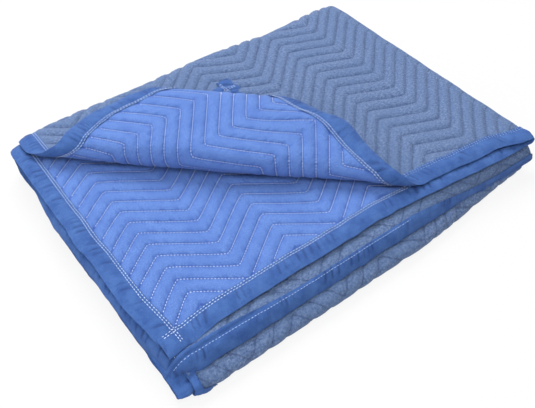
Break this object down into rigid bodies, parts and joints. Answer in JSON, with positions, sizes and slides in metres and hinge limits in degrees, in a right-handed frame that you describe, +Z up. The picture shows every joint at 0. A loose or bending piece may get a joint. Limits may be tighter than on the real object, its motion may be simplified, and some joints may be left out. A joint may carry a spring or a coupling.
{
  "type": "moving blanket",
  "caption": "Quilted, edge-bound protective blanket, folded to a flat pack with one top corner turned back, for wrapping and padding furniture in transit.",
  "frame": {"origin": "centre of the folded pack's footprint, on the plane it rests on", "axes": "+Z up out of the top layer, +X along the long side of the pack towards the side with the folded edges, -Y towards the side where the hems show"},
  "size_m": [0.6758, 0.5316, 0.1239],
  "materials": {
    "quilted_cloth": "matte quilted cotton, heather blue on one side and violet blue on the other",
    "front_binding_top": "matte woven tape",
    "front_binding_low": "matte woven tape",
    "side_binding_upper": "matte woven tape",
    "side_binding_lower": "matte woven tape"
  },
  "bodies": {
    "root": {"quilted_cloth": "quilted_cloth", "front_binding_top": "front_binding_top", "front_binding_low": "front_binding_low", "side_binding_upper": "side_binding_upper", "side_binding_lower": "side_binding_lower"}
  },
  "joints": []
}
